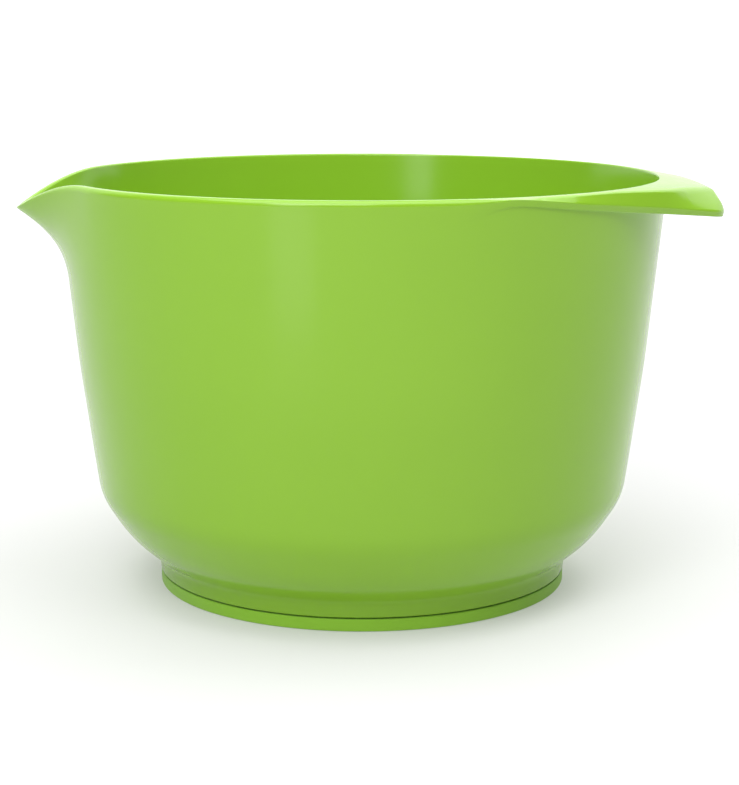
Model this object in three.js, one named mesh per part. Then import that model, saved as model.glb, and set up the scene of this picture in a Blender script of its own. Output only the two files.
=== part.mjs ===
// Mixing bowl with a pouring spout, a grip and a removable non-slip ring.
// Millimetres, +Z up. The origin is on the table, on the axis of the round bowl.
// The grip points along +X and the spout along -X.

import * as THREE from 'three';
import { mergeVertices } from 'three/addons/utils/BufferGeometryUtils.js';

// ---- driving dimensions ----

const rim = {
  height: 166.9,          // top of the rim above the table
  innerRadius: 119.1,
  outerRadius: 122.65,
  edgeRounding: 1.4,
};

// The outer wall is two straight tapers: radius against height.
const wall = {
  bend: { height: 39.3, radius: 108.0 },
  middle: { height: 91.0, radius: 115.05 },
  top: { height: 166.9, radius: 122.75 },
  thickness: 3.5,         // at the rim
  thinning: 0.5,          // how much thinner the wall is towards the bottom
  thinningStarts: 150,    // between these heights
  thinningEnds: 50,
};

const foot = {
  radius: 83.8,
  underside: 5.5,         // height of the foot's underside
  tongueOuter: 81.6,      // the tongue stands in the ring's channel
  tongueInner: 80.3,
  tongueBottom: 1.8,
  recessTop: 9.0,         // underside of the bowl's floor
  floorTop: 12.0,         // inside floor of the bowl
  flatRadius: 40.0,       // the floor is quite flat out to here
  recessFillet: 2.3,      // width of the sloping corner between the floor and the tongue
};

// The rounded belly between the foot and the straight wall: where the lines on each side
// of a bend would meet, outside and inside, and the length that the bend takes off them.
const belly = {
  outside: [
    { radius: 84.5, height: 11.7, bend: 2.4 },
    { radius: 97.3, height: 22.2, bend: 8 },
    { radius: 107.8, height: 38.2, bend: 5 },
  ],
  inside: [
    { radius: 104.6, height: 39.3, bend: 7 },
    { radius: 94.9, height: 24.7, bend: 8 },
    { radius: 80, height: 12.2, bend: 12 },
  ],
  outsideTop: 50,
  insideTop: 60,
};

const spout = {
  halfAngle: 24.1,        // degrees from the spout's axis to where its lip leaves the round rim
  reach: 19.5,            // sets how far the lip's tip stands out
  droop: 14.1,            // sets how far the tip lies below the rim
  droopPower: 2.2,
  bottom: 127.0,          // height where the spout starts to grow out of the wall
  tipRounding: 4.0,       // degrees, at the lip
  keelRounding: 8.0,      // degrees, at the spout's bottom
  roundingRise: 0.55,     // share of the rounding that is given back as reach
  edgeStarts: 0.965,      // share of the spout's height above which the lip's edge is upright
};

const grip = {
  slope: 0.182,           // fall of the grip's top plate per millimetre outward
  plateNormal: 37.1,      // degrees, direction that the plate's straight side edge faces
  plateSide: 128.4,       // distance of that edge from the bowl's axis
  plateEnd: 136.0,
  lipNormal: 50.0,        // the same for the lip around the grip
  lipSide: 123.4,
  lipEnd: 139.4,
  lipHeight: 2.5,
  lipBottomAtAxis: 170.03, // the lip's bottom edge lies in one sloping plane
  lipBottomSlope: 0.1277,
  lipBottomHighest: 164.2,
  thickness: 3.2,
  edgeThickness: 2.4,     // from the plate's edge in to the hollow under it
  lipThickness: 0.5,
  hollowStarts: 2.5,      // the hollow begins where the lip stands this far off the wall
  hollowGrows: 7.0,       // and is full this much further out
  lipCorner: 6.0,         // softness of the corners in plan
  plateCorner: 3.0,
  leastSkirt: 1.6,        // the plate's edge stays this far inside the lip
  pastCorners: 25.0,      // degrees from +X past which the straight end no longer counts
  fadeStart: 80.0,        // degrees from +X where the grip starts to leave the rim
  fadeEnd: 66.0,          // and where it is fully formed
};

const ring = {
  outerRadius: 83.7,
  outerLegInner: 81.95,
  innerLegOuter: 79.95,
  innerRadius: 77.5,
  outerHeight: 4.9,
  innerHeight: 7.2,
  channelFloor: 1.45,
  edgeRounding: 0.7,
};

// ---- small helpers ----

const { clamp, degToRad, lerp } = THREE.MathUtils;
const cosDeg = (degrees) => Math.cos(degToRad(degrees));
const tanDeg = (degrees) => Math.tan(degToRad(degrees));
const point = (radius, height) => new THREE.Vector2(radius, height);

function smooth(value) {
  const x = clamp(value, 0, 1);
  return x * x * (3 - 2 * x);
}

// The smaller of two values, with a soft change-over as wide as blend.
function softMin(a, b, blend) {
  const share = clamp(0.5 + 0.5 * (b - a) / blend, 0, 1);
  return lerp(b, a, share) - blend * share * (1 - share);
}

// A rounded corner as a short curve: trim is the length taken off each side.
function roundedCorner(before, corner, after, trim, steps) {
  const back = before.clone().sub(corner);
  const ahead = after.clone().sub(corner);
  const mostTrim = 0.48;
  back.setLength(Math.min(trim, mostTrim * back.length()));
  ahead.setLength(Math.min(trim, mostTrim * ahead.length()));
  const curve = new THREE.QuadraticBezierCurve(
    corner.clone().add(back), corner, corner.clone().add(ahead));
  return curve.getPoints(steps);
}

function roundedLine(corners) {
  return corners.flatMap(({ at, trim, steps }, index) => {
    if (!trim) return [at];
    return roundedCorner(corners[index - 1].at, at, corners[index + 1].at, trim, steps);
  });
}

// ---- the round bowl ----

function wallRadius(height) {
  const [low, high] = height < wall.middle.height
    ? [wall.bend, wall.middle] : [wall.middle, wall.top];
  const share = (height - low.height) / (high.height - low.height);
  return lerp(low.radius, high.radius, share);
}

function innerWallRadius(height) {
  const share = (wall.thinningStarts - height) / (wall.thinningStarts - wall.thinningEnds);
  return wallRadius(height) - wall.thickness + wall.thinning * clamp(share, 0, 1);
}

function bellyCorners(bends) {
  return bends.map(({ radius, height, bend }) => (
    { at: point(radius, height), trim: bend, steps: 3 }));
}

// From the middle of the underside, over the foot and up to the wall's bend.
function undersideSection() {
  return roundedLine([
    { at: point(0, foot.recessTop) },
    { at: point(foot.flatRadius, foot.recessTop) },
    { at: point(foot.tongueInner - foot.recessFillet, foot.recessTop - 0.8) },
    { at: point(foot.tongueInner, foot.recessTop - 1.4) },
    { at: point(foot.tongueInner, foot.tongueBottom) },
    { at: point(foot.tongueOuter, foot.tongueBottom) },
    { at: point(foot.tongueOuter, foot.underside) },
    { at: point(foot.radius, foot.underside) },
    ...bellyCorners(belly.outside),
    { at: point(wallRadius(belly.outsideTop), belly.outsideTop) },
  ]);
}

function outerWallSection(topHeight) {
  const lower = [80, 105, 120].map((height) => point(wallRadius(height), height));
  const upper = [0, 0.25, 0.5, 0.75, 1].map((share) => {
    const height = lerp(spout.bottom, topHeight, share);
    return point(wallRadius(height), height);
  });
  return [...lower, ...upper];
}

function innerSection() {
  const wallHeights = [157, 152, 146, 140, 134, spout.bottom, 100];
  return [
    ...wallHeights.map((height) => point(innerWallRadius(height), height)),
    ...roundedLine([
      { at: point(innerWallRadius(belly.insideTop), belly.insideTop) },
      ...bellyCorners(belly.inside),
      { at: point(foot.flatRadius, foot.floorTop) },
      { at: point(0, foot.floorTop) },
    ]),
  ];
}

// ---- the grip: a sloping plate with a lip around it, grown out of the rim ----

// Radius of a straight side that far out and facing normal; past there it is a circle.
function sideRay(distance, normal, azimuth) {
  return distance / cosDeg(Math.min(azimuth - normal, 0));
}

function plateHeight(radius) {
  return rim.height - grip.slope * (radius - rim.innerRadius);
}

function lipBottomHeight(radius, azimuth) {
  const sloping = grip.lipBottomAtAxis - grip.lipBottomSlope * radius * cosDeg(azimuth);
  return softMin(sloping, grip.lipBottomHighest, 1.5);
}

// A line down the skirt, as a function of radius, from the plate's edge to the lip.
function skirt(plate, lip, azimuth) {
  const top = plateHeight(plate);
  const bottom = lipBottomHeight(lip, azimuth) + grip.lipHeight;
  return (radius) => lerp(top, bottom, (radius - plate) / (lip - plate));
}

function gripCorners(azimuth) {
  const sideLip = sideRay(grip.lipSide, grip.lipNormal, azimuth);
  const sidePlate = softMin(
    sideRay(grip.plateSide, grip.plateNormal, azimuth), sideLip - grip.leastSkirt, 2);
  const endAzimuth = Math.min(azimuth, grip.pastCorners);
  const endLip = grip.lipEnd / cosDeg(endAzimuth);
  const endPlate = grip.plateEnd / cosDeg(endAzimuth);
  const lip = softMin(sideLip, endLip, grip.lipCorner);
  const plate = softMin(sidePlate, endPlate, grip.plateCorner);
  // The side skirt and the end skirt meet in an edge that runs out to the lip's corner.
  const sideSkirt = skirt(sidePlate, sideLip, azimuth);
  const endSkirt = skirt(endPlate, endLip, endAzimuth);
  const apartAtPlate = sideSkirt(plate) - endSkirt(plate);
  const apartAtLip = sideSkirt(lip) - endSkirt(lip);
  const share = clamp(apartAtPlate / (apartAtPlate - apartAtLip), 0.35, 0.85);
  const middle = lerp(plate, lip, share);
  const lipBottom = lipBottomHeight(lip, azimuth);
  const wallHere = wallRadius(lipBottom);
  const hollow = smooth((lip - wallHere - grip.hollowStarts) / grip.hollowGrows);
  const under = point(
    lerp(wallHere + 0.3, plate - grip.edgeThickness, hollow),
    lerp(lipBottom + 0.2, plateHeight(plate) - grip.thickness, hollow));
  const rootHeight = under.y + grip.slope * hollow * (under.x - wallHere);
  return [
    { at: point(rim.innerRadius, rim.height), trim: 1.0 },
    { at: point(plate, plateHeight(plate)), trim: 2.6 },
    { at: point(middle, Math.min(sideSkirt(middle), endSkirt(middle))) },
    { at: point(lip, lipBottom + grip.lipHeight), trim: 0.7 },
    { at: point(lip - grip.lipThickness, lipBottom), trim: 0.6 },
    { at: under, trim: 1.6 },
    { at: point(wallRadius(rootHeight), rootHeight), trim: 1.6 },
  ];
}

// The same seven corners where there is no grip: the rounded rim, then points down the wall.
function plainCorners() {
  const onWall = (drop) => point(wallRadius(rim.height - drop), rim.height - drop);
  return [
    { at: point(rim.innerRadius, rim.height), trim: 1.0 },
    { at: point(rim.outerRadius - rim.edgeRounding, rim.height), trim: 1.3 },
    { at: point(rim.outerRadius, rim.height - rim.edgeRounding), trim: 1.3 },
    { at: onWall(3.5) },
    { at: onWall(5), trim: 0.5 },
    { at: onWall(7), trim: 0.5 },
    { at: onWall(9), trim: 0.5 },
  ];
}

// From the wall below the rim, up and over the rim, to its inner edge.
function rimSection(azimuth) {
  const formed = smooth((grip.fadeStart - azimuth) / (grip.fadeStart - grip.fadeEnd));
  const plain = plainCorners();
  const grown = gripCorners(azimuth);
  const corners = plain.map(({ at, trim }, index) => ({
    at: at.lerp(grown[index].at, formed),
    trim: trim && lerp(trim, grown[index].trim, formed),
    steps: 2,
  }));
  const wallBelow = point(wallRadius(140), 140);
  const wallInside = point(rim.innerRadius, rim.height - 3);
  return roundedLine([{ at: wallInside }, ...corners, { at: wallBelow }]).slice(1, -1).reverse();
}

// ---- the spout: the upper wall pushed outward and its lip drawn down ----

function pourSpout(at, azimuth) {
  const fromAxis = 180 - azimuth;
  if (at.y <= spout.bottom) return at;
  const rise = (at.y - spout.bottom) / (rim.height - spout.bottom);
  const rounding = lerp(spout.keelRounding, spout.tipRounding, smooth(rise));
  const softAngle = Math.hypot(fromAxis, rounding) - spout.roundingRise * rounding;
  const inside = Math.max(spout.halfAngle - softAngle, 0);
  const outward = (1 / cosDeg(inside) - 1) / (1 / cosDeg(spout.halfAngle) - 1);
  const along = tanDeg(inside) / tanDeg(spout.halfAngle);
  const growth = Math.min(rise / spout.edgeStarts, 1) ** 2;
  return point(
    at.x + spout.reach * growth * outward,
    at.y - spout.droop * rise * along ** spout.droopPower);
}

function bowlSection(azimuth) {
  const overRim = rimSection(azimuth);
  const gapBelowRim = 2;
  const highest = 157;
  const wallTop = Math.min(overRim[0].y - gapBelowRim, highest);
  const section = [
    ...undersideSection(),
    ...outerWallSection(wallTop),
    ...overRim,
    ...innerSection(),
  ];
  return section.map((at) => pourSpout(at, azimuth));
}

function ringSection() {
  const outerEdge = { trim: ring.edgeRounding, steps: 2 };
  const corners = [
    { at: point(ring.innerRadius, ring.innerHeight) },
    { at: point(ring.innerRadius, 0) },
    { at: point(ring.outerRadius, 0), ...outerEdge },
    { at: point(ring.outerRadius, ring.outerHeight), ...outerEdge },
    { at: point(ring.outerLegInner, ring.outerHeight) },
    { at: point(ring.outerLegInner, ring.channelFloor) },
    { at: point(ring.innerLegOuter, ring.channelFloor) },
    { at: point(ring.innerLegOuter, ring.innerHeight) },
    { at: point(ring.innerRadius, ring.innerHeight) },
  ];
  return roundedLine(corners);
}

// ---- turning a section about the axis ----

// Azimuths from the grip round to the spout, closer together where the shape changes fast.
function halfTurnAzimuths() {
  const stretches = [[12, 2], [24, 7], [68, 9], [150, 11], [168, 4], [180, 5]];
  const azimuths = [0];
  for (const [end, count] of stretches) {
    const start = azimuths.at(-1);
    for (let step = 1; step <= count; step += 1) {
      azimuths.push(lerp(start, end, step / count));
    }
  }
  return azimuths;
}

function fullTurnAzimuths() {
  const half = halfTurnAzimuths();
  const back = half.slice(0, -1).reverse().map((azimuth) => 360 - azimuth);
  return [...half, ...back];
}

// A lathe whose section may change with the azimuth, counted from +X in degrees.
function turnedSolid(sectionAt) {
  const azimuths = fullTurnAzimuths();
  const segments = azimuths.length - 1;
  const pointCount = sectionAt(0).length;
  const geometry = new THREE.LatheGeometry(sectionAt(0), segments);
  const position = geometry.getAttribute('position');
  azimuths.forEach((azimuth, turn) => {
    const turnAngle = degToRad(turn === segments ? 0 : azimuth);
    const section = sectionAt(Math.min(azimuth, 360 - azimuth));
    section.forEach(({ x: radius, y: height }, index) => {
      const vertex = turn * pointCount + index;
      position.setXYZ(
        vertex, radius * Math.cos(turnAngle), radius * Math.sin(turnAngle), height);
    });
  });
  geometry.deleteAttribute('normal');
  geometry.deleteAttribute('uv');
  const welded = mergeVertices(geometry);
  welded.computeVertexNormals();
  return welded;
}

// ---- the two pieces ----

function bowlPiece() {
  const glossyGreen = new THREE.MeshStandardMaterial({
    color: 0x8cc03c, roughness: 0.18, metalness: 0 });
  const mesh = new THREE.Mesh(turnedSolid(bowlSection), glossyGreen);
  mesh.name = 'bowl';
  return mesh;
}

function ringPiece() {
  const matteGreen = new THREE.MeshStandardMaterial({
    color: 0x7cb033, roughness: 0.6, metalness: 0 });
  const mesh = new THREE.Mesh(turnedSolid(ringSection), matteGreen);
  mesh.name = 'non_slip_ring';
  return mesh;
}

const mixingBowl = new THREE.Group();
mixingBowl.add(bowlPiece(), ringPiece());

export default mixingBowl;
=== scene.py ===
import math

import bmesh
import bpy
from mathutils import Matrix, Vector


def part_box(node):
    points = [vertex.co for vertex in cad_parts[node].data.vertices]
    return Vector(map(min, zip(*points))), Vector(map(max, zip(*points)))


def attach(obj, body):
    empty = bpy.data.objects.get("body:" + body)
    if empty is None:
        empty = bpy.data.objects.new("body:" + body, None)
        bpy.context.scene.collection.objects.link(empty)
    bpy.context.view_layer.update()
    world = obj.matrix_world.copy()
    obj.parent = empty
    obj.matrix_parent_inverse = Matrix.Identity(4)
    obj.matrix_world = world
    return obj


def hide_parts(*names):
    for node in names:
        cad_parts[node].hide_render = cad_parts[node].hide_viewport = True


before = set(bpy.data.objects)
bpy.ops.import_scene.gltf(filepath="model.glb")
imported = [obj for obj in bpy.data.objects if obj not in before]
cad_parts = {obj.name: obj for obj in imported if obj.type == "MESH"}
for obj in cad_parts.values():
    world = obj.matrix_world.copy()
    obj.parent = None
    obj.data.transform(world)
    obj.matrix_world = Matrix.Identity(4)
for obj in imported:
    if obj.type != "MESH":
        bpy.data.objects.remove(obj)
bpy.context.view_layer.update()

# ---------------------------------------------------------------------------
# Sizes, in millimetres. The outer ones are read from the frame.
# ---------------------------------------------------------------------------

MM = 0.001

BOWL_LOW, BOWL_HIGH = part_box("bowl")
RING_LOW, RING_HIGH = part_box("non_slip_ring")

RIM_HEIGHT = BOWL_HIGH.z / MM
RIM_INNER = 119.1
RIM_OUTER = 122.65
RIM_ROUNDING = 1.4

# The outer wall as (height, radius): two straight tapers.
WALL_BEND = (39.3, 108.0)
WALL_MIDDLE = (91.0, 115.05)
WALL_TOP = (RIM_HEIGHT, 122.75)
WALL_THICKNESS = 3.5                    # at the rim
WALL_THINNING = 0.5                     # how much thinner the wall is towards the bottom
THINNING_STARTS = RIM_HEIGHT - 17
THINNING_DEPTH = 100

FOOT_RADIUS = 83.8
FOOT_UNDERSIDE = 5.5
TONGUE_OUTER = 81.6
TONGUE_INNER = 80.3
TONGUE_BOTTOM = BOWL_LOW.z / MM
RECESS_TOP = 9.0
FLOOR_TOP = 12.0

# The rounded belly between the foot and the straight wall: where the lines on each side of
# a bend would meet, the length that the bend takes off them, and its number of points.
BELLY_OUTSIDE = (
    ((FOOT_RADIUS + 0.7, 11.7), 2.4, 8),
    ((97.3, 22.2), 8.5, 12),
    ((107.75, 38.2), 5.5, 10),
)
BELLY_INSIDE = (
    ((104.6, 39.3), 8, 10),
    ((94.9, 24.7), 9, 12),
    ((80, FLOOR_TOP + 0.2), 12, 14),
)
BELLY_TOP = 55

SPOUT_HALF_ANGLE = 24.1                 # degrees from its axis to where its lip leaves the rim
SPOUT_REACH = 19.5                      # sets how far the lip's tip stands out
SPOUT_DROOP = 14.1                      # sets how far the tip lies below the rim
SPOUT_DROOP_POWER = 2.2
SPOUT_BOTTOM = 127.0                    # where the spout starts to grow out of the wall
SPOUT_TIP_ROUNDING = 4.0                # degrees
SPOUT_KEEL_ROUNDING = 8.0
SPOUT_ROUNDING_RISE = 0.55              # share of the rounding that is given back as reach
SPOUT_EDGE_STARTS = 0.965               # share of its height above which the edge is upright

GRIP_SLOPE = 0.182                      # fall of the top plate per millimetre outward
GRIP_PLATE_NORMAL = 37.1                # degrees, the way that the plate's side edge faces
GRIP_PLATE_SIDE = 128.4                 # that edge's distance from the bowl's axis
GRIP_PLATE_END = 136.0
GRIP_LIP_NORMAL = 50.0                  # the same for the lip around the plate
GRIP_LIP_SIDE = 123.4
GRIP_LIP_END = BOWL_HIGH.x / MM + 0.1
GRIP_LIP_HEIGHT = 2.5
GRIP_LIP_BOTTOM_AT_AXIS = 170.03
GRIP_LIP_BOTTOM_SLOPE = 0.1277
GRIP_LIP_BOTTOM_HIGHEST = 164.2
GRIP_THICKNESS = 3.2
GRIP_EDGE_THICKNESS = 2.4               # from the plate's edge in to the hollow under it
GRIP_LIP_THICKNESS = 0.5
GRIP_HOLLOW_STARTS = 2.5                # where the lip stands this far off the wall
GRIP_HOLLOW_GROWS = 7.0                 # and it is full this much further out
GRIP_LIP_CORNER = 6.0                   # softness of the corners in plan
GRIP_PLATE_CORNER = 3.0
GRIP_LEAST_SKIRT = 1.6                  # the plate's edge stays this far inside the lip
GRIP_PAST_CORNERS = 25.0                # degrees past which the straight end doesn't count
GRIP_FADE_START = 80.0                  # degrees where the grip starts to leave the rim
GRIP_FADE_END = 66.0                    # and where it is fully formed

RING_RADIUS = RING_HIGH.x / MM
RING_INNER = 77.5
RING_OUTER_LEG_INNER = 81.95
RING_INNER_LEG_OUTER = 79.95
RING_OUTER_HEIGHT = 4.9
RING_INNER_HEIGHT = RING_HIGH.z / MM
RING_CHANNEL_FLOOR = 1.45

# ---------------------------------------------------------------------------
# Small helpers. A section point is (radius, height) in millimetres.
# ---------------------------------------------------------------------------


def clamp(value, low=0.0, high=1.0):
    return max(low, min(high, value))


def lerp(a, b, share):
    return a + (b - a) * share


def mix(a, b, share):
    return tuple(lerp(x, y, share) for x, y in zip(a, b))


def smooth(value):
    x = clamp(value)
    return x * x * (3 - 2 * x)


def cos_deg(degrees):
    return math.cos(math.radians(degrees))


def tan_deg(degrees):
    return math.tan(math.radians(degrees))


def soft_min(a, b, blend):
    """The smaller of two values, with a soft change-over as wide as blend."""
    share = clamp(0.5 + 0.5 * (b - a) / blend)
    return lerp(b, a, share) - blend * share * (1 - share)


def rounded_corner(before, corner, after, trim, count):
    """A corner rounded by a short curve; trim is the length taken off each side."""
    ends = []
    for other in (before, after):
        length = math.dist(other, corner)
        ends.append(mix(corner, other, min(trim, 0.48 * length) / length))
    points = []
    for i in range(count):
        share = i / (count - 1)
        points.append(mix(mix(ends[0], corner, share), mix(corner, ends[1], share), share))
    return points


def rounded_line(corners):
    """corners are (point, trim, count); a trim of 0 keeps the point as it is."""
    points = []
    for i, (at, trim, count) in enumerate(corners):
        if trim:
            points += rounded_corner(corners[i - 1][0], at, corners[i + 1][0], trim, count)
        else:
            points.append(at)
    return points


# ---------------------------------------------------------------------------
# The bowl's section, from the middle of its underside to the middle of its floor
# ---------------------------------------------------------------------------


def wall_radius(height):
    low, high = (WALL_BEND, WALL_MIDDLE) if height < WALL_MIDDLE[0] else (WALL_MIDDLE, WALL_TOP)
    return lerp(low[1], high[1], (height - low[0]) / (high[0] - low[0]))


def on_wall(height):
    return (wall_radius(height), height)


def inside_wall(height):
    thinning = WALL_THINNING * clamp((THINNING_STARTS - height) / THINNING_DEPTH)
    return (wall_radius(height) - WALL_THICKNESS + thinning, height)


def underside_section():
    return rounded_line([
        ((0, RECESS_TOP), 0, 1),
        ((25, RECESS_TOP), 0, 1),
        ((50, RECESS_TOP), 0, 1),
        ((TONGUE_INNER - 2.0, RECESS_TOP - 0.2), 1.5, 5),
        ((TONGUE_INNER, RECESS_TOP - 2.0), 0.6, 4),
        ((TONGUE_INNER, TONGUE_BOTTOM), 0.4, 4),
        ((TONGUE_OUTER, TONGUE_BOTTOM), 0.4, 4),
        ((TONGUE_OUTER, FOOT_UNDERSIDE), 0.3, 3),
        ((FOOT_RADIUS, FOOT_UNDERSIDE), 0.45, 5),
        *BELLY_OUTSIDE,
        (on_wall(BELLY_TOP), 0, 1),
    ])


def outer_wall_section(top_height):
    lower = [on_wall(height) for height in range(65, 125, 10)]
    steps = 14
    upper = [on_wall(lerp(SPOUT_BOTTOM - 1, top_height, i / steps)) for i in range(steps + 1)]
    return lower + upper


def inner_section():
    steps = 14
    upper = [inside_wall(lerp(161, SPOUT_BOTTOM - 1, i / steps)) for i in range(steps + 1)]
    lower = [inside_wall(height) for height in range(115, 55, -10)]
    floor = rounded_line([
        (inside_wall(BELLY_TOP), 0, 1),
        *BELLY_INSIDE,
        ((45, FLOOR_TOP), 0, 1),
        ((22, FLOOR_TOP), 0, 1),
        ((0, FLOOR_TOP), 0, 1),
    ])
    return upper + lower + floor


# ---------------------------------------------------------------------------
# The grip: a sloping plate with a lip around it, grown out of the rim
# ---------------------------------------------------------------------------


def side_ray(distance, normal, azimuth):
    """Radius of a straight side that far out and facing normal; past there it is a circle."""
    return distance / cos_deg(min(azimuth - normal, 0))


def plate_height(radius):
    return RIM_HEIGHT - GRIP_SLOPE * (radius - RIM_INNER)


def lip_bottom_height(radius, azimuth):
    sloping = GRIP_LIP_BOTTOM_AT_AXIS - GRIP_LIP_BOTTOM_SLOPE * radius * cos_deg(azimuth)
    return soft_min(sloping, GRIP_LIP_BOTTOM_HIGHEST, 1.5)


def skirt(plate, lip, azimuth):
    """A line down the skirt, as a function of radius, from the plate's edge to the lip."""
    top, bottom = plate_height(plate), lip_bottom_height(lip, azimuth) + GRIP_LIP_HEIGHT
    return lambda radius: lerp(top, bottom, (radius - plate) / (lip - plate))


def grip_corners(azimuth):
    side_lip = side_ray(GRIP_LIP_SIDE, GRIP_LIP_NORMAL, azimuth)
    side_plate = side_ray(GRIP_PLATE_SIDE, GRIP_PLATE_NORMAL, azimuth)
    side_plate = soft_min(side_plate, side_lip - GRIP_LEAST_SKIRT, 2)
    end_azimuth = min(azimuth, GRIP_PAST_CORNERS)
    end_lip = GRIP_LIP_END / cos_deg(end_azimuth)
    end_plate = GRIP_PLATE_END / cos_deg(end_azimuth)
    lip = soft_min(side_lip, end_lip, GRIP_LIP_CORNER)
    plate = soft_min(side_plate, end_plate, GRIP_PLATE_CORNER)
    # The side skirt and the end skirt meet in an edge that runs out to the lip's corner.
    side_skirt = skirt(side_plate, side_lip, azimuth)
    end_skirt = skirt(end_plate, end_lip, end_azimuth)
    at_plate = side_skirt(plate) - end_skirt(plate)
    at_lip = side_skirt(lip) - end_skirt(lip)
    share = clamp(at_plate / (at_plate - at_lip), 0.35, 0.85)
    middle = lerp(plate, lip, share)
    lip_bottom = lip_bottom_height(lip, azimuth)
    wall_here = wall_radius(lip_bottom)
    hollow = smooth((lip - wall_here - GRIP_HOLLOW_STARTS) / GRIP_HOLLOW_GROWS)
    under = (
        lerp(wall_here + 0.3, plate - GRIP_EDGE_THICKNESS, hollow),
        lerp(lip_bottom + 0.2, plate_height(plate) - GRIP_THICKNESS, hollow),
    )
    root_height = under[1] + GRIP_SLOPE * hollow * (under[0] - wall_here)
    return [
        ((RIM_INNER, RIM_HEIGHT), 1.0),
        ((plate, plate_height(plate)), 2.6),
        ((middle, min(side_skirt(middle), end_skirt(middle))), 2.0),
        ((lip, lip_bottom + GRIP_LIP_HEIGHT), 0.7),
        ((lip - GRIP_LIP_THICKNESS, lip_bottom), 0.6),
        (under, 1.6),
        (on_wall(root_height), 1.6),
    ]


def plain_corners():
    """The same seven corners where there is no grip: the rounded rim, then the wall."""
    return [
        ((RIM_INNER, RIM_HEIGHT), 1.0),
        ((RIM_OUTER - RIM_ROUNDING, RIM_HEIGHT), 1.3),
        ((RIM_OUTER, RIM_HEIGHT - RIM_ROUNDING), 1.3),
        (on_wall(RIM_HEIGHT - 3.5), 0.5),
        (on_wall(RIM_HEIGHT - 5), 0.5),
        (on_wall(RIM_HEIGHT - 7), 0.5),
        (on_wall(RIM_HEIGHT - 9), 0.5),
    ]


def rim_section(azimuth):
    """From the wall below the rim, up and over it, to its inner edge."""
    formed = smooth((GRIP_FADE_START - azimuth) / (GRIP_FADE_START - GRIP_FADE_END))
    corners = [((RIM_INNER, RIM_HEIGHT - 3), 0, 1)]
    counts = (5, 9, 6, 7, 6, 7, 7)
    for plain, grown, count in zip(plain_corners(), grip_corners(azimuth), counts):
        at = mix(plain[0], grown[0], formed)
        corners.append((at, lerp(plain[1], grown[1], formed), count))
    corners.append((on_wall(140), 0, 1))
    return rounded_line(corners)[1:-1][::-1]


# ---------------------------------------------------------------------------
# The spout: the upper wall pushed outward and its lip drawn down
# ---------------------------------------------------------------------------


def pour_spout(at, azimuth):
    radius, height = at
    from_axis = 180 - azimuth
    if height <= SPOUT_BOTTOM:
        return at
    rise = (height - SPOUT_BOTTOM) / (RIM_HEIGHT - SPOUT_BOTTOM)
    rounding = lerp(SPOUT_KEEL_ROUNDING, SPOUT_TIP_ROUNDING, smooth(rise))
    soft_angle = math.hypot(from_axis, rounding) - SPOUT_ROUNDING_RISE * rounding
    inside = max(SPOUT_HALF_ANGLE - soft_angle, 0)
    outward = (1 / cos_deg(inside) - 1) / (1 / cos_deg(SPOUT_HALF_ANGLE) - 1)
    along = tan_deg(inside) / tan_deg(SPOUT_HALF_ANGLE)
    # The lip's own edge stands upright, so it is as wide as the height just below it.
    growth = min(rise / SPOUT_EDGE_STARTS, 1) ** 2
    return (
        radius + SPOUT_REACH * growth * outward,
        height - SPOUT_DROOP * rise * along ** SPOUT_DROOP_POWER,
    )


def bowl_section(azimuth):
    over_rim = rim_section(azimuth)
    wall_top = min(over_rim[0][1] - 1.5, 157)
    section = underside_section() + outer_wall_section(wall_top) + over_rim + inner_section()
    return [pour_spout(at, azimuth) for at in section]


def ring_section(azimuth):
    """The ring's channel section, closed on itself."""
    middle = ((RING_INNER + RING_INNER_LEG_OUTER) / 2, RING_INNER_HEIGHT)
    return rounded_line([
        (middle, 0, 1),
        ((RING_INNER, RING_INNER_HEIGHT), 0.6, 5),
        ((RING_INNER, 0), 0.6, 5),
        ((RING_RADIUS, 0), 0.7, 6),
        ((RING_RADIUS, RING_OUTER_HEIGHT), 0.55, 6),
        ((RING_OUTER_LEG_INNER, RING_OUTER_HEIGHT), 0.35, 4),
        ((RING_OUTER_LEG_INNER, RING_CHANNEL_FLOOR), 0.25, 3),
        ((RING_INNER_LEG_OUTER, RING_CHANNEL_FLOOR), 0.25, 3),
        ((RING_INNER_LEG_OUTER, RING_INNER_HEIGHT), 0.6, 5),
        (middle, 0, 1),
    ])


# ---------------------------------------------------------------------------
# Turning a section into a mesh
# ---------------------------------------------------------------------------


def half_turn_azimuths():
    """From the grip round to the spout, closer together where the shape changes fast."""
    stretches = ((12, 16), (24, 40), (70, 60), (138, 50), (160, 28), (180, 50))
    azimuths = [0.0]
    for end, count in stretches:
        start = azimuths[-1]
        azimuths += [lerp(start, end, (i + 1) / count) for i in range(count)]
    return azimuths


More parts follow.
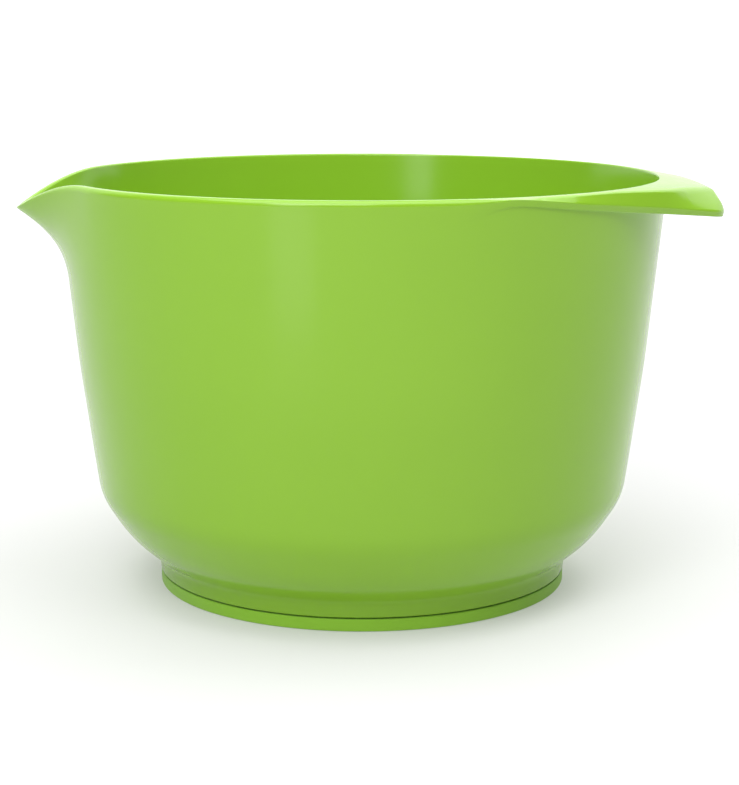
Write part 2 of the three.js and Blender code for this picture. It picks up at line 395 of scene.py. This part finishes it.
def turned_mesh(name, section_at, azimuths):
    """A closed solid: each azimuth's section, joined to the next one's."""
    back = [360 - azimuth for azimuth in reversed(azimuths[1:-1])]
    turns = azimuths + back
    vertices = []
    for turn in turns:
        cosine, sine = cos_deg(turn), math.sin(math.radians(turn))
        for radius, height in section_at(min(turn, 360 - turn)):
            vertices.append((radius * cosine * MM, radius * sine * MM, height * MM))
    count = len(vertices) // len(turns)
    faces = []
    for i in range(len(turns)):
        here, there = i * count, (i + 1) % len(turns) * count
        for j in range(count - 1):
            faces.append((here + j, there + j, there + j + 1, here + j + 1))
    mesh = bpy.data.meshes.new(name)
    mesh.from_pydata(vertices, [], faces)
    edit = bmesh.new()
    edit.from_mesh(mesh)
    bmesh.ops.remove_doubles(edit, verts=edit.verts, dist=1e-7)
    bmesh.ops.dissolve_degenerate(edit, edges=edit.edges, dist=1e-8)
    bmesh.ops.recalc_face_normals(edit, faces=edit.faces)
    edit.to_mesh(mesh)
    edit.free()
    mesh.shade_smooth()
    piece = bpy.data.objects.new(name, mesh)
    bpy.context.scene.collection.objects.link(piece)
    return piece


# ---------------------------------------------------------------------------
# Materials
# ---------------------------------------------------------------------------


def from_srgb(red, green, blue):
    """A colour given as 0 to 255 on screen, as the shader's linear values."""
    linear = []
    for value in (red, green, blue):
        share = value / 255
        linear.append(share / 12.92 if share <= 0.04045 else ((share + 0.055) / 1.055) ** 2.4)
    return (*linear, 1.0)


class Shader:
    """A material's node tree, with short calls for the nodes used here."""

    def __init__(self, name):
        self.material = bpy.data.materials.new(name)
        self.material.use_nodes = True
        self.tree = self.material.node_tree
        self.surface = self.tree.nodes["Principled BSDF"]

    def add(self, kind, **settings):
        node = self.tree.nodes.new(kind)
        for key, value in settings.items():
            setattr(node, key, value)
        return node

    def link(self, source, target):
        self.tree.links.new(source, target)

    def place(self, scale=(1, 1, 1)):
        """The point on the object, stretched by scale."""
        coordinates = self.add("ShaderNodeTexCoord")
        mapping = self.add("ShaderNodeMapping")
        mapping.inputs["Scale"].default_value = scale
        self.link(coordinates.outputs["Object"], mapping.inputs["Vector"])
        return mapping.outputs["Vector"]

    def noise(self, place, scale, detail=2.0, roughness=0.5):
        node = self.add("ShaderNodeTexNoise")
        node.inputs["Scale"].default_value = scale
        node.inputs["Detail"].default_value = detail
        node.inputs["Roughness"].default_value = roughness
        self.link(place, node.inputs["Vector"])
        return node.outputs["Fac"]

    def spread(self, value, low, high, from_low=0.3, from_high=0.7):
        """The 0 to 1 value brought into the range low to high."""
        node = self.add("ShaderNodeMapRange")
        node.inputs["From Min"].default_value = from_low
        node.inputs["From Max"].default_value = from_high
        node.inputs["To Min"].default_value = low
        node.inputs["To Max"].default_value = high
        self.link(value, node.inputs["Value"])
        return node.outputs["Result"]

    def colours(self, value, first, second):
        node = self.add("ShaderNodeMix", data_type="RGBA")
        self.link(value, node.inputs["Factor"])
        node.inputs["A"].default_value = first
        node.inputs["B"].default_value = second
        return node.outputs["Result"]

    def bump(self, height, distance, strength=1.0, under=None):
        node = self.add("ShaderNodeBump")
        node.inputs["Strength"].default_value = strength
        node.inputs["Distance"].default_value = distance
        self.link(height, node.inputs["Height"])
        if under is not None:
            self.link(under, node.inputs["Normal"])
        return node.outputs["Normal"]


def hard_plastic():
    """Glossy moulded plastic: an even green with slight clouding and a softly uneven gloss."""
    shader = Shader("bowl_plastic")
    surface = shader.surface
    place = shader.place()
    clouds = shader.noise(place, 14, detail=3)
    tint = shader.colours(clouds, from_srgb(129, 177, 37), from_srgb(134, 182, 42))
    shader.link(tint, surface.inputs["Base Color"])
    smears = shader.noise(place, 38, detail=4, roughness=0.6)
    shader.link(shader.spread(smears, 0.16, 0.22), surface.inputs["Roughness"])
    ripple = shader.noise(place, 55, detail=1)
    grain = shader.noise(place, 2600, detail=2)
    rolling = shader.bump(ripple, 0.00006, 0.35)
    shader.link(shader.bump(grain, 0.000004, 0.3, rolling), surface.inputs["Normal"])
    surface.inputs["IOR"].default_value = 1.47
    surface.inputs["Metallic"].default_value = 0.0
    return shader.material


def soft_rubber():
    """Matte moulded rubber in the same green, with a fine even grain."""
    shader = Shader("ring_rubber")
    surface = shader.surface
    place = shader.place()
    clouds = shader.noise(place, 30, detail=3)
    tint = shader.colours(clouds, from_srgb(134, 188, 43), from_srgb(140, 193, 48))
    shader.link(tint, surface.inputs["Base Color"])
    grain = shader.noise(place, 1500, detail=3)
    shader.link(shader.spread(grain, 0.52, 0.68), surface.inputs["Roughness"])
    shader.link(shader.bump(grain, 0.00003, 0.5), surface.inputs["Normal"])
    surface.inputs["IOR"].default_value = 1.45
    surface.inputs["Specular IOR Level"].default_value = 0.35
    surface.inputs["Sheen Weight"].default_value = 0.15
    surface.inputs["Sheen Roughness"].default_value = 0.6
    return shader.material


def plain_floor_material():
    """White paper; away from the lamps it glows a little, so that it stays white there too."""
    shader = Shader("studio_floor")
    distance = shader.add("ShaderNodeVectorMath", operation="LENGTH")
    shader.link(shader.place(), distance.inputs[0])
    glow = shader.spread(distance.outputs["Value"], *FLOOR_GLOW, *FLOOR_GLOW_GROWS)
    shader.link(glow, shader.surface.inputs["Emission Strength"])
    shader.surface.inputs["Base Color"].default_value = (FLOOR_WHITE, FLOOR_WHITE, FLOOR_WHITE, 1)
    shader.surface.inputs["Roughness"].default_value = 0.7
    shader.surface.inputs["Specular IOR Level"].default_value = 0.2
    shader.surface.inputs["Emission Color"].default_value = (1, 1, 1, 1)
    return shader.material


# ---------------------------------------------------------------------------
# The pieces
# ---------------------------------------------------------------------------


def make_piece(name, section_at, azimuths, material, body, node):
    piece = turned_mesh(name, section_at, azimuths)
    piece.data.materials.append(material)
    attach(piece, body)
    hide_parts(node)
    return piece


def make_bowl():
    return make_piece("moulded_bowl", bowl_section, half_turn_azimuths(), hard_plastic(),
                      "bowl_body", "bowl")


def make_ring():
    azimuths = [1.5 * i for i in range(121)]
    return make_piece("rubber_ring", ring_section, azimuths, soft_rubber(),
                      "ring_body", "non_slip_ring")


# ---------------------------------------------------------------------------
# Studio: camera, floor and light
# ---------------------------------------------------------------------------

CAMERA_DISTANCE = 0.811
CAMERA_HEIGHT = 0.2296
CAMERA_TILT = 10.68
CAMERA_TURN = 4.5
CAMERA_LENS = 91.55
CAMERA_SHIFT = 0.0095

ROOM_LIGHT = 0.16
FLOOR_WHITE = 0.48
FLOOR_GLOW = (0.28, 0.95)        # near the bowl and far from it
FLOOR_GLOW_GROWS = (0.3, 2.4)    # between these distances from the bowl's axis, in metres


def make_camera():
    camera = bpy.data.cameras.new("camera")
    camera.sensor_width = 36
    camera.lens = CAMERA_LENS
    camera.shift_x = CAMERA_SHIFT
    camera.clip_start = 0.05
    holder = bpy.data.objects.new("camera", camera)
    turn = math.radians(CAMERA_TURN)
    holder.location = (
        -CAMERA_DISTANCE * math.sin(turn),
        -CAMERA_DISTANCE * math.cos(turn),
        CAMERA_HEIGHT,
    )
    holder.rotation_euler = (math.radians(90 - CAMERA_TILT), 0, -turn)
    bpy.context.scene.collection.objects.link(holder)
    bpy.context.scene.camera = holder


def make_floor():
    """A flat floor that curves up into a back wall far behind."""
    half_width = 6.0
    front, back = -4.0, 3.0
    bend, top = 1.5, 5.0
    profile = [(front, 0.0), (back - bend, 0.0)]
    steps = 24
    for i in range(1, steps + 1):
        angle = math.pi / 2 * i / steps
        profile.append((back - bend + bend * math.sin(angle), bend - bend * math.cos(angle)))
    profile.append((back, top))
    drop = 0.0002
    vertices = [(x, y, z - drop) for y, z in profile for x in (-half_width, half_width)]
    faces = [(2 * i, 2 * i + 1, 2 * i + 3, 2 * i + 2) for i in range(len(profile) - 1)]
    mesh = bpy.data.meshes.new("studio_floor")
    mesh.from_pydata(vertices, [], faces)
    mesh.shade_smooth()
    mesh.materials.append(plain_floor_material())
    floor = bpy.data.objects.new("studio_floor", mesh)
    bpy.context.scene.collection.objects.link(floor)


def make_panel(name, azimuth, distance, height, size, power, aim_height=RIM_HEIGHT * MM / 2):
    """A soft rectangular light; azimuth is in degrees to the camera's right of its axis."""
    light = bpy.data.lights.new(name, "AREA")
    light.shape = "RECTANGLE"
    light.size, light.size_y = size
    light.energy = power
    holder = bpy.data.objects.new(name, light)
    angle = math.radians(azimuth - CAMERA_TURN)
    holder.location = (distance * math.sin(angle), -distance * math.cos(angle), height)
    aim = Vector((0, 0, aim_height))
    holder.rotation_euler = (aim - holder.location).to_track_quat("-Z", "Y").to_euler()
    bpy.context.scene.collection.objects.link(holder)


def make_light():
    world = bpy.data.worlds.new("studio")
    world.use_nodes = True
    background = world.node_tree.nodes["Background"]
    background.inputs["Color"].default_value = (1, 1, 1, 1)
    background.inputs["Strength"].default_value = ROOM_LIGHT
    bpy.context.scene.world = world
    make_panel("overhead", azimuth=0, distance=0.25, height=1.25, size=(1.6, 1.2), power=20)
    make_panel("behind", azimuth=180, distance=1.6, height=1.2, size=(1.6, 0.8), power=4)
    make_panel("front_fill", azimuth=-16, distance=1.5, height=1.45, size=(1.2, 0.8), power=16)
    make_panel("right_side", azimuth=115, distance=1.05, height=1.35, size=(1.2, 0.9), power=7)
    # The next two show as the upright highlights on the wall, outside and inside.
    make_panel("tall_strip", azimuth=-25, distance=1.3, height=0.75, size=(0.3, 1.1), power=3)
    make_panel("low_strip", azimuth=-22, distance=0.42, height=0.06, size=(0.1, 0.1),
               power=0.025, aim_height=0.12)
    view = bpy.context.scene.view_settings
    view.view_transform = "Standard"
    view.look = "None"


make_camera()
make_floor()
make_light()
make_bowl()
make_ring()
